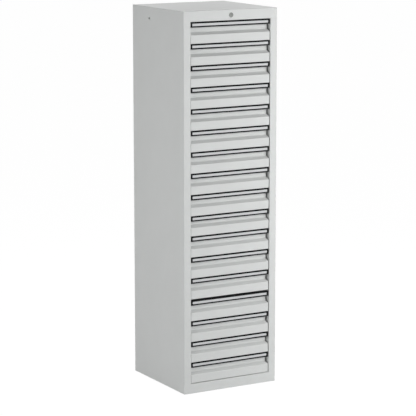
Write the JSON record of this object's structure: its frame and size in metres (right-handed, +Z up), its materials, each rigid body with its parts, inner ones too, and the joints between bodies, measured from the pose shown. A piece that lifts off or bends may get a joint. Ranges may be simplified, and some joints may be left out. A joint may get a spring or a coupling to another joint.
{
  "type": "industrial drawer cabinet",
  "caption": "Tall narrow steel cabinet of shallow drawers with recessed finger grips, black label strips and one central lock at the top.",
  "frame": {"origin": "middle of the footprint, on the floor", "axes": "+Z up; the drawers face and open towards -Y; +X to the right seen from the front"},
  "size_m": [0.4, 0.4014, 1.44],
  "materials": {
    "case_paint": "light grey powder coat, fine orange peel, satin",
    "drawer_paint": "light grey powder coat, satin",
    "zinc_steel": "zinc-plated steel plate",
    "black_plastic": "black extruded plastic, semi-matt",
    "label_paper": "plain pale label behind a thin clear film",
    "lock_metal": "nickel-plated, lightly brushed"
  },
  "bodies": {
    "case": {"outer_wrap": "case_paint", "top_panel": "case_paint", "base_panel": "case_paint", "left_runner_panel": "case_paint", "right_runner_panel": "case_paint", "lock_barrel": "lock_metal"},
    "lock": {"lock_plug": "lock_metal", "lock_cam": "lock_metal"},
    "bar": {"locking_bar": "zinc_steel"},
    "drawer_01_body": {"drawer_01": "drawer_paint", "label_strip_01": "black_plastic", "label_01": "label_paper"},
    "drawer_02_body": {"drawer_02": "drawer_paint", "label_strip_02": "black_plastic", "label_02": "label_paper"},
    "drawer_03_body": {"drawer_03": "drawer_paint", "label_strip_03": "black_plastic", "label_03": "label_paper"},
    "drawer_04_body": {"drawer_04": "drawer_paint", "label_strip_04": "black_plastic", "label_04": "label_paper"},
    "drawer_05_body": {"drawer_05": "drawer_paint", "label_strip_05": "black_plastic", "label_05": "label_paper"},
    "drawer_06_body": {"drawer_06": "drawer_paint", "label_strip_06": "black_plastic", "label_06": "label_paper"},
    "drawer_07_body": {"drawer_07": "drawer_paint", "label_strip_07": "black_plastic", "label_07": "label_paper"},
    "drawer_08_body": {"drawer_08": "drawer_paint", "label_strip_08": "black_plastic", "label_08": "label_paper"},
    "drawer_09_body": {"drawer_09": "drawer_paint", "label_strip_09": "black_plastic", "label_09": "label_paper"},
    "drawer_10_body": {"drawer_10": "drawer_paint", "label_strip_10": "black_plastic", "label_10": "label_paper"},
    "drawer_11_body": {"drawer_11": "drawer_paint", "label_strip_11": "black_plastic", "label_11": "label_paper"},
    "drawer_12_body": {"drawer_12": "drawer_paint", "label_strip_12": "black_plastic", "label_12": "label_paper"},
    "drawer_13_body": {"drawer_13": "drawer_paint", "label_strip_13": "black_plastic", "label_13": "label_paper"},
    "drawer_14_body": {"drawer_14": "drawer_paint", "label_strip_14": "black_plastic", "label_14": "label_paper"},
    "drawer_15_body": {"drawer_15": "drawer_paint", "label_strip_15": "black_plastic", "label_15": "label_paper"},
    "drawer_16_body": {"drawer_16": "drawer_paint", "label_strip_16": "black_plastic", "label_16": "label_paper"},
    "drawer_17_body": {"drawer_17": "drawer_paint", "label_strip_17": "black_plastic", "label_17": "label_paper"}
  },
  "joints": [
    {"name": "drawer_01_slide", "type": "slide", "parent": "case", "child": "drawer_01_body", "axis": [0, -1, 0], "range_m": [0, 0.3]},
    {"name": "drawer_02_slide", "type": "slide", "parent": "case", "child": "drawer_02_body", "axis": [0, -1, 0], "range_m": [0, 0.3]},
    {"name": "drawer_03_slide", "type": "slide", "parent": "case", "child": "drawer_03_body", "axis": [0, -1, 0], "range_m": [0, 0.3]},
    {"name": "drawer_04_slide", "type": "slide", "parent": "case", "child": "drawer_04_body", "axis": [0, -1, 0], "range_m": [0, 0.3]},
    {"name": "drawer_05_slide", "type": "slide", "parent": "case", "child": "drawer_05_body", "axis": [0, -1, 0], "range_m": [0, 0.3]},
    {"name": "drawer_06_slide", "type": "slide", "parent": "case", "child": "drawer_06_body", "axis": [0, -1, 0], "range_m": [0, 0.3]},
    {"name": "drawer_07_slide", "type": "slide", "parent": "case", "child": "drawer_07_body", "axis": [0, -1, 0], "range_m": [0, 0.3]},
    {"name": "drawer_08_slide", "type": "slide", "parent": "case", "child": "drawer_08_body", "axis": [0, -1, 0], "range_m": [0, 0.3]},
    {"name": "drawer_09_slide", "type": "slide", "parent": "case", "child": "drawer_09_body", "axis": [0, -1, 0], "range_m": [0, 0.3]},
    {"name": "drawer_10_slide", "type": "slide", "parent": "case", "child": "drawer_10_body", "axis": [0, -1, 0], "range_m": [0, 0.3]},
    {"name": "drawer_11_slide", "type": "slide", "parent": "case", "child": "drawer_11_body", "axis": [0, -1, 0], "range_m": [0, 0.3]},
    {"name": "drawer_12_slide", "type": "slide", "parent": "case", "child": "drawer_12_body", "axis": [0, -1, 0], "range_m": [0, 0.3]},
    {"name": "drawer_13_slide", "type": "slide", "parent": "case", "child": "drawer_13_body", "axis": [0, -1, 0], "range_m": [0, 0.3]},
    {"name": "drawer_14_slide", "type": "slide", "parent": "case", "child": "drawer_14_body", "axis": [0, -1, 0], "range_m": [0, 0.3]},
    {"name": "drawer_15_slide", "type": "slide", "parent": "case", "child": "drawer_15_body", "axis": [0, -1, 0], "range_m": [0, 0.3]},
    {"name": "drawer_16_slide", "type": "slide", "parent": "case", "child": "drawer_16_body", "axis": [0, -1, 0], "range_m": [0, 0.3]},
    {"name": "drawer_17_slide", "type": "slide", "parent": "case", "child": "drawer_17_body", "axis": [0, -1, 0], "range_m": [0, 0.3]},
    {"name": "lock_turn", "type": "hinge", "parent": "case", "child": "lock", "pos_m": [0, -0.19925, 1.42], "axis": [0, 1, 0], "range_deg": [0, 90]},
    {"name": "bar_lift", "type": "slide", "parent": "case", "child": "bar", "axis": [0, 0, 1], "range_m": [0, 0.0085]}
  ],
  "couplings": [
    {"joint": "lock_turn", "follows": "bar_lift", "rad_per_m": 184.7}
  ]
}
